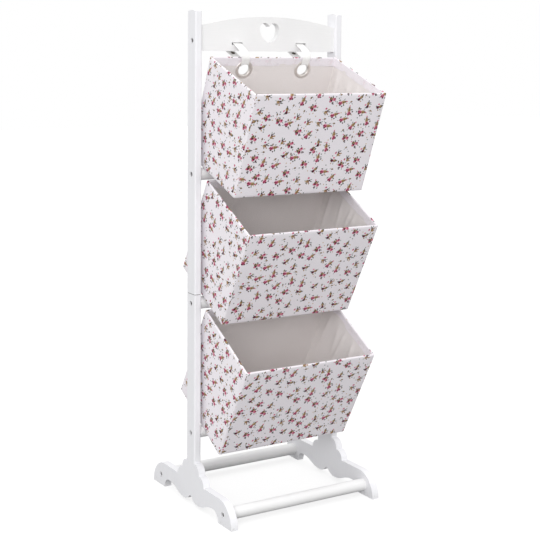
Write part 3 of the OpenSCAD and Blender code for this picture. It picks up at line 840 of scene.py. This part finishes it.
white_thread = patterned_material(
    "white thread", twisted, ((240, 239, 240), (214, 212, 214)), (0.5, 0.7), (0.3, 0.0001),
    Sheen_Weight=0.2, Specular_IOR_Level=0.35,
)
STITCH_PITCH, STITCH_LONG, THREAD = 3.6, 2.7, 0.28
# Stitches end this far from an eyelet's middle.
STITCH_FREE = 20.5
# A stitch: share of its length, height over the cloth and radius, both in THREADs.
STITCH = ((0.0, -0.35, 0.6), (0.2, 0.25, 1.0), (0.8, 0.25, 1.0), (1.0, -0.35, 0.6))


def stitches_along(line):
    """Stitches on a line of (point, outward direction), in basket coordinates: start, end,
    outward."""
    placed, spare = [], 0.4
    for (a, na), (b, _) in zip(line, line[1:]):
        length = (b - a).length
        run = spare
        while run + STITCH_LONG < length:
            way = (b - a) / length
            placed.append((a + way * run, a + way * (run + STITCH_LONG), na))
            run += STITCH_PITCH
        spare = max(0.3, run - length)
    return placed


def sew(name, level, stitches):
    """One mesh of many small thread loops that dip into the cloth at both ends."""
    points, faces = [], []
    for start, end, out in stitches:
        way = (end - start).normalized()
        side = way.cross(out).normalized()
        first = len(points)
        for share, lift, thick in STITCH:
            mid = start.lerp(end, share) + out * THREAD * lift
            for a in (math.radians(60 * k) for k in range(6)):
                p = mid + (side * math.cos(a) + out * math.sin(a)) * THREAD * thick
                points.append(in_rack(level, *p))
        for ring in range(3):
            a, b = first + 6 * ring, first + 6 * ring + 6
            for k in range(6):
                m = (k + 1) % 6
                faces.append((a + k, a + m, b + m, b + k))
        faces.append(tuple(first + k for k in range(5, -1, -1)))
        faces.append(tuple(first + 18 + k for k in range(6)))
    mesh = new_mesh(name, points, faces)
    mesh.shade_smooth()
    return put_in_scene(name, mesh)


def ring_line(inset, v, sign):
    """The line round the basket at one height, left out where an eyelet's ring lies. sign
    is 1 for stitches outside and -1 inside."""
    lines, line = [], []
    for column in COLUMNS + COLUMNS[:1]:
        x, u, nx, nu = on_plan(column, inset)
        if u > BACK and from_eyelet(x, v) < STITCH_FREE:
            lines.append(line)
            line = []
        else:
            line.append((Vector((x, u, v)), Vector((nx * sign, nu * sign, 0))))
    return [*lines, line]


for level in LEVELS:
    seams = ring_line(HEM_IN + 0.02, -17.6, -1) + ring_line(-0.14, -5.2, 1)
    for sx in (-1, 1):
        for u in (-CORNER - 1.6, -DEEP + CORNER + 1.6):
            ends = [Vector((sx * (WIDE / 2 + 0.14), u, v)) for v in (-7.0, -TALL + 4)]
            seams.append([(end, Vector((sx, 0, 0))) for end in ends])
    stitches = [s for line in seams for s in stitches_along(line)]
    stitching = sew(f"{level}_basket_stitching", level, stitches)
    stitching.data.materials.append(white_thread)
    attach(stitching, f"{level}_basket")


# Eyelets: two-part satin nickel curtain eyelets, pressed through the back panel
# of each basket, with the domed flange inside and a washer under the rolled edge.
satin_nickel = patterned_material(
    "satin nickel", grained((120, 2600, 900), 3.0),
    ((226, 221, 216), (240, 236, 232)), (0.38, 0.52), (0.08, 0.0001), Metallic=1.0,
)
# Radius and height over the outside of the back panel, counted into the basket.
EYELET_SHAPE = [
    (19.0, 4.62), (19.15, 5.0), (18.75, 5.45), (17.2, 5.8), (15.2, 5.85), (13.7, 5.6),
    (12.95, 5.05), (12.75, 4.3), (12.75, -0.5), (12.9, -1.2), (13.4, -1.7), (14.2, -1.75),
    (14.8, -1.4), (14.85, -0.92), (13.5, -0.85), (13.45, 4.55),
]
WASHER_SHAPE = [
    (13.7, -0.02), (18.4, -0.02), (18.55, -0.3), (18.1, -0.72), (14.2, -0.85), (13.7, -0.5),
]


def turn_shape(parts, shape, where, steps=48, closed=True):
    """Adds a turned ring to (points, faces); where(radius, height, angle) gives its points."""
    points, faces = parts
    first = len(points)
    for k in range(steps):
        angle = 2 * math.pi * k / steps
        points.extend(where(r, h, angle) for r, h in shape)
    count = len(shape)
    for k in range(steps):
        a, b = first + k * count, first + (k + 1) % steps * count
        for n in range(count if closed else count - 1):
            m = (n + 1) % count
            faces.append((a + n, b + n, b + m, a + m))


def solid_piece(name, parts, material, body, replaced):
    """Makes the object from (points, faces), with its finish and its body."""
    mesh = new_mesh(name, *parts)
    with reworked(mesh) as work:
        bmesh.ops.remove_doubles(work, verts=work.verts, dist=1e-6)
        bmesh.ops.recalc_face_normals(work, faces=work.faces)
    mesh.shade_smooth()
    mesh.set_sharp_from_angle(angle=math.radians(40))
    mesh.materials.append(material)
    piece = put_in_scene(name, mesh)
    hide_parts(*replaced)
    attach(piece, body)


for level in LEVELS:
    parts = ([], [])
    for x0 in (-EYELET_X, EYELET_X):
        def on_panel(r, h, angle, x0=x0, level=level):
            return in_rack(level, x0 + r * math.cos(angle), -h, -EYELET_DROP + r * math.sin(angle))

        turn_shape(parts, EYELET_SHAPE, on_panel)
        turn_shape(parts, WASHER_SHAPE, on_panel)
    name, replaced = f"{level}_basket_turned_eyelets", [f"{level}_basket_eyelets"]
    solid_piece(name, parts, satin_nickel, f"{level}_basket", replaced)


# Straps: white cotton webbing, 17.5 mm wide in the eyelet, where it bows to the
# ring's curve, and up to 12% wider on the bar or in the rail's slot, round which it
# goes. It is doubled and riveted behind, and leans in a little down to the eyelet.
STRAP_TOP_X, STRAP_LOW_X, STRAP_THICK, STRAP_LAP = 74.6, 71.2, 1.3, 20.0
BAR_R, WRAP, SPREAD = 12.5, 0.3, 0.12
RAIL_Y, STRIP_Z, STRIP_R = -2.5, 926.0, 9.905
# Distances of the warp cords and of the weft, in metres.
CORD_PITCH, WEFT_PITCH = 0.00105, 0.0009


def make_webbing_weave():
    """Thick warp cords that run along the strap, crossed by a fine weft."""
    tree, given, made = new_group("Webbing weave", [POSITION], WOVEN)
    parts = split(tree, given["Position"])
    cord = compute(tree, "SINE", compute(tree, "MULTIPLY", parts[0], math.pi / CORD_PITCH))
    along = compute(tree, "MULTIPLY", parts[1], math.pi / WEFT_PITCH)
    late = compute(tree, "MULTIPLY_ADD", compute(tree, "SIGN", cord), math.pi / 4, along)
    pick = compute(tree, "SINE", late)
    ridge, bead = (compute(tree, "ABSOLUTE", value) for value in (cord, pick))
    both = compute(tree, "MULTIPLY", ridge, bead)
    # The valley mask marks where shade is painted between the cords and the weft.
    return give(tree, made, Height=both, Valley=map_range(tree, both, 0.4, 0.0))


white_webbing = woven_material(
    "white webbing", make_webbing_weave(), {}, (80.0, 3.0),
    # The third colour is painted shade in the valleys of the weave.
    ((249, 249, 248), (243, 243, 242), (226, 225, 223)), (0.7, 0.9), (0.35, 0.0002),
    Sheen_Weight=0.15, Specular_IOR_Level=0.25,
)
# How far under the rim the eyelet's clear opening begins.
LIP = EYELET_DROP - 25.5 / 2 + 0.3


def grips(level):
    """The three bends where the strap goes over the rim and through the eyelet: y, z, radius."""
    def bend(u, v, r):
        p = in_rack(level, 0, u, v) * 1000
        return (p.y, p.z, r)

    return [bend(2.6, -3.0, 9.4), bend(-5.6, -LIP + 0.5, 0.5), bend(1.4, -LIP + 0.5, 0.5)]


# Each loop's bends in order: the strip or bar it hangs on, the grips, and for the
# top one the sag behind the rail.
LOOPS = {
    "top": [(RAIL_Y, STRIP_Z, STRIP_R), *grips("top"), (RAIL_Y + 22.5, STRIP_Z - 2, 3.6)],
    "middle": [(0, LEAN["top"][2], BAR_R + WRAP), *grips("middle")],
    "bottom": [(0, LEAN["middle"][2], BAR_R + WRAP), *grips("bottom")],
}
# Where the free run in front leaves the bend above and meets the one at the
# rim: the outward directions there, in degrees from straight back.
FREE_RUN = {"top": (121, 172), "middle": (150, 176), "bottom": (150, 176)}
# How far behind the panel the strap lies flat, and where on that run the stud is.
FLAT_AFTER = {"top": 20.0, "middle": 13.0, "bottom": 13.0}
STUD_SHARE = {"top": 0.8, "middle": 0.55, "bottom": 0.55}
# Radius of the strap's curve in an eyelet, how far from the middle it is followed, and
# how far from its own middle the webbing is a little uneven.
BOW_R, BOW_REACH, UNEVEN = 12.1, 11.0, 8.3
# Degrees and millimetres from point to point, in a bend and on a straight run.
BEND_STEP, RUN_STEP = 9, 3
# Half the cross-section of the webbing: place across it and half thickness there.
SECTION = [
    (-8.75, 0.12), (-8.6, 0.4), (-8.2, 0.58), (-6.9, 0.65), (-3.5, 0.6), (0, 0.63),
    (3.5, 0.6), (6.9, 0.65), (8.2, 0.58), (8.6, 0.4), (8.75, 0.12),
]


def touch(a, b, extra):
    """Outward direction and the two ends of the straight run from bend a to bend b."""
    d = Vector((b[0] - a[0], b[1] - a[1]))
    k = (a[2] - b[2]) / d.length
    e = d.normalized()
    n = e * k + Vector((e.y, -e.x)) * math.sqrt(1 - k * k)
    return n, Vector(a[:2]) + n * (a[2] + extra), Vector(b[:2]) + n * (b[2] + extra)


def bow_behind(level, run):
    """How much of the eyelet's curve the strap still has so many millimetres behind the panel."""
    return max(0.0, 1 - run / FLAT_AFTER[level]) ** 2


def free_run(start, leave, end, arrive):
    """The strap's curve in front, between two ends with the outward directions there."""
    pull = (end - start).length
    way0 = Vector((-math.sin(leave), math.cos(leave))) * pull
    way1 = Vector((-math.sin(arrive), math.cos(arrive))) * pull
    for t in (k / 12 for k in range(1, 12)):
        p = start * (2 * t**3 - 3 * t**2 + 1) + way0 * (t**3 - 2 * t**2 + t)
        p = p + end * (3 * t**2 - 2 * t**3) + way1 * (t**3 - t**2)
        way = start * (6 * t**2 - 6 * t) + way0 * (3 * t**2 - 4 * t + 1)
        way = way + end * (6 * t - 6 * t**2) + way1 * (3 * t**2 - 2 * t)
        yield p, Vector((way.y, -way.x)).normalized(), 0.0


def strap_path(level, extra):
    """The closed loop in millimetres: points, outward directions and the share of the
    eyelet's curve. Bend 1 is at the rim, 2 and 3 are in the eyelet."""
    path = []
    bends = LOOPS[level]
    count = len(bends)
    leave, arrive = (math.radians(a) for a in FREE_RUN[level])
    for i, bend in enumerate(bends):
        n0, _, _ = touch(bends[i - 1], bend, extra)
        n1, start, end = touch(bend, bends[(i + 1) % count], extra)
        a0 = math.atan2(n0.y, n0.x)
        sweep = (math.atan2(n1.y, n1.x) - a0) % (2 * math.pi)
        if i == 0:
            sweep = (leave - a0) % (2 * math.pi)
        if i == 1:
            sweep, a0 = (a0 + sweep - arrive) % (2 * math.pi), arrive
        steps = max(2, round(math.degrees(sweep) / BEND_STEP))
        for k in range(steps + (i == 0)):
            angle = a0 + sweep * k / steps
            n = Vector((math.cos(angle), math.sin(angle)))
            bow = {2: k / steps, 3: 1.0}.get(i, 0.0)
            path.append((Vector(bend[:2]) + n * (bend[2] + extra), n, bow))
        if i == 0:
            rim = bends[1]
            way = Vector((math.cos(arrive), math.sin(arrive)))
            end = Vector(rim[:2]) + way * (rim[2] + extra)
            path.extend(free_run(path[-1][0], leave, end, arrive))
            continue
        length = (end - start).length
        steps = max(1, round(length / RUN_STEP))
        for k in range(steps):
            share = k / steps
            bow = bow_behind(level, share * length) if i == 3 else float(i == 2)
            path.append((start.lerp(end, share), n1, bow))
    return path


def strap_x(level, z):
    """Distance of a strap's middle from the rack's middle, at a height."""
    low, high = LOOPS[level][2][1], LOOPS[level][0][1]
    share = min(1.0, max(0.0, (z - low) / (high - low)))
    return STRAP_LOW_X + (STRAP_TOP_X - STRAP_LOW_X) * share


def strap_spread(level, z):
    """How much wider the webbing lies at a height than in its eyelet, where it is squeezed."""
    return 1 + SPREAD * (strap_x(level, z) - STRAP_LOW_X) / (STRAP_TOP_X - STRAP_LOW_X)


def weave_strap(parts, maps, level, path, side, closed, seed):
    """Adds a length of webbing on the left (-1) or right (1) along a path."""
    points, faces = parts
    first = len(points)
    tilt = math.radians(LEAN[level][0])
    down = Vector((math.sin(tilt), -math.cos(tilt)))
    ring = SECTION + [(x, -h) for x, h in reversed(SECTION)]
    size = len(ring)
    run, runs = 0.0, []
    for n, (p, out, bow) in enumerate(path):
        if n:
            run += (p - path[n - 1][0]).length
        runs.append(run)
        middle = side * strap_x(level, p.y) + 0.25 * noise.noise(Vector((run / 22, seed, 0)))
        for x, h in [(x * strap_spread(level, p.y), h) for x, h in ring]:
            wavy = 0.12 * noise.noise(Vector((run / 9, x / 5, seed))) if abs(x) < UNEVEN else 0.0
            off = min(BOW_REACH, abs(middle + x - side * EYELET_X))
            dip = BOW_R - math.sqrt(BOW_R ** 2 - off ** 2)
            where = p + out * (h + wavy) + down * bow * dip
            points.append(Vector((middle + x, where.x, where.y)) / 1000)
    total = len(path)
    for n in range(total if closed else total - 1):
        m = (n + 1) % total
        end = runs[m] if m else run + (path[0][0] - path[-1][0]).length
        a, b = first + n * size, first + m * size
        for k in range(size):
            j = (k + 1) % size
            faces.append((a + k, b + k, b + j, a + j))
            xs = (ring[k][0], ring[k][0], ring[j][0], ring[j][0])
            maps.extend([x / 1000, v / 1000] for x, v in zip(xs, (runs[n], end, end, runs[n])))
    if not closed:
        for start in (first, first + (total - 1) * size):
            faces.append(tuple(start + k for k in range(size)))
            maps.extend([x / 1000, h / 1000] for x, h in ring)


def back_run(level):
    """The straight run behind the panel: the strap's outward direction, its two ends on the
    strap's outer face, and its own direction."""
    bends = LOOPS[level]
    out, low, high = touch(bends[3], bends[4 % len(bends)], STRAP_THICK)
    return out, low, high, (high - low).normalized()


for number, level in enumerate(LEVELS):
    parts, maps = ([], []), []
    out, low, high, way = back_run(level)
    middle = (high - low).length * STUD_SHARE[level]
    for side in (-1, 1):
        loop = strap_path(level, STRAP_THICK / 2)
        weave_strap(parts, maps, level, loop, side, True, number + 5 * side)
        lap = []
        for run in np.linspace(middle - STRAP_LAP / 2, middle + STRAP_LAP / 2, 11):
            bow = bow_behind(level, max(0.0, run))
            lap.append((low + way * run + out * (STRAP_THICK / 2), out, bow))
        weave_strap(parts, maps, level, lap, side, False, number + 5 * side + 20)
    mesh = new_mesh(f"{level}_basket_webbing_straps", *parts)
    uvs = [value for uv in maps for value in uv]
    mesh.uv_layers.new(name="cloth").data.foreach_set("uv", uvs)
    with reworked(mesh) as work:
        bmesh.ops.recalc_face_normals(work, faces=work.faces)
    mesh.shade_smooth()
    mesh.materials.append(white_webbing)
    straps = put_in_scene(f"{level}_basket_webbing_straps", mesh)
    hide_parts(f"{level}_basket_straps")
    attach(straps, f"{level}_basket")


# Studs: dark oxidised brass rivets through the doubled strap end, with a domed
# cap behind and a ring with a hollow middle on the side of the panel.
CAP_SHAPE = [
    (0.0, 1.8), (1.8, 1.78), (3.6, 1.55), (4.8, 1.15), (5.4, 0.6), (5.5, 0.15), (5.3, 0.0),
    (1.5, 0.0), (1.5, -2.5),
]
RING_SHAPE = [
    (1.5, 0.1), (4.3, 0.05), (4.5, 0.35), (4.2, 0.75), (3.2, 0.9), (2.3, 0.7), (1.9, 0.35),
    (0.0, 0.25),
]
dark_metal = patterned_material(
    "dark oxidised brass", lambda tree, place: clouds(tree, place, 380.0, 4.0),
    ((70, 64, 58), (112, 102, 90)), (0.3, 0.5), (0.15, 0.0001), Metallic=1.0,
)
for level in LEVELS:
    parts = ([], [])
    out, low, high, way = back_run(level)
    at = low.lerp(high, STUD_SHARE[level])
    for x0 in (-strap_x(level, at.y), strap_x(level, at.y)):
        for shape, sign in ((CAP_SHAPE, 1), (RING_SHAPE, -1)):
            def on_strap(r, h, angle, x0=x0, sign=sign, at=at, out=out, way=way):
                p = at + out * (sign * STRAP_THICK + sign * h) + way * (r * math.sin(angle))
                return Vector((x0 + r * math.cos(angle), p.x, p.y)) / 1000

            turn_shape(parts, shape, on_strap, 28, closed=False)
    name, replaced = f"{level}_basket_strap_studs", [f"{level}_basket_studs"]
    solid_piece(name, parts, dark_metal, f"{level}_basket", replaced)


# Studio: a plain white floor that keeps a faint shadow, an even white
# surround, and one wide soft lamp high up at the front left.
WHITE = (1.0, 1.0, 1.0, 1.0)


def seen_directly(tree):
    return add(tree, "LightPath")["Is Camera Ray"]


def floor_material():
    material, tree, shader = new_material(
        "studio floor", Roughness=0.9, Specular_IOR_Level=0.0, Emission_Color=WHITE
    )
    cloud = clouds(tree, object_place(tree), 0.6, 1.0)
    tone = blend_colours(tree, cloud, (0.29, 0.29, 0.29, 1), (0.31, 0.31, 0.31, 1))
    tree.links.new(tone, shader.inputs["Base Color"])
    glow = compute(tree, "MULTIPLY", seen_directly(tree), 0.74)
    tree.links.new(glow, shader.inputs["Emission Strength"])
    return material


corners = [(-12, -12, 0), (12, -12, 0), (12, 12, 0), (-12, 12, 0)]
floor_mesh = new_mesh("studio floor", corners, [(0, 1, 2, 3)])
floor_mesh.materials.append(floor_material())
floor = put_in_scene("studio_floor", floor_mesh)

world = bpy.data.worlds.new("studio surround")
bpy.context.scene.world = world
world.use_nodes = True
sky = world.node_tree
sky.nodes.clear()
height = split(sky, add(sky, "TexCoord")["Generated"])[2]
glow = map_range(sky, height, low=0.74, high=1.34)
strength = add(sky, "Mix", {0: seen_directly(sky), 2: glow, 3: 1.0})[0]
surround = add(sky, "Background", {"Color": WHITE, "Strength": strength})[0]
sky.links.new(surround, sky.nodes.new("ShaderNodeOutputWorld").inputs[0])

# The lamp, and its way back from what it looks at, a point 0.55 m up in the rack.
LAMP_AT, LAMP_WAY = (-3.18, -3.82, 2.07), (-3.18, -3.82, 1.52)
lamp = bpy.data.lights.new("wide soft lamp", "AREA")
lamp.shape = "DISK"
lamp.size = 3.0
lamp.energy = 111.0
holder = put_in_scene("wide_soft_lamp", lamp)
holder.location = LAMP_AT
holder.rotation_euler = Vector(LAMP_WAY).to_track_quat("Z", "Y").to_euler()


# Camera: set as the photograph was taken, turned 31.5 degrees to the rack's
# front and slightly above its middle, with the frame shifted down to the feet.
YAW, PITCH, ROLL = 31.54, 4.18, 0.409
CAMERA_AT = (-1.2962, -2.12678, 0.90782)
yaw, pitch, roll = (math.radians(a) for a in (YAW, PITCH, ROLL))
right = Vector((math.cos(yaw), -math.sin(yaw), 0))
ahead = Vector((math.sin(yaw) * math.cos(pitch), math.cos(yaw) * math.cos(pitch), -math.sin(pitch)))
above = right.cross(ahead)
turned_right = right * math.cos(roll) + above * math.sin(roll)
turned_up = above * math.cos(roll) - right * math.sin(roll)
lens = bpy.data.cameras.new("photo camera")
lens.sensor_fit = "HORIZONTAL"
lens.sensor_width = 36.0
lens.lens = 80.54
lens.shift_y = -0.2303
camera = put_in_scene("photo_camera", lens)
turn = Matrix((turned_right, turned_up, -ahead)).transposed().to_4x4()
camera.matrix_world = Matrix.Translation(CAMERA_AT) @ turn
bpy.context.scene.camera = camera
bpy.context.scene.view_settings.view_transform = "Standard"
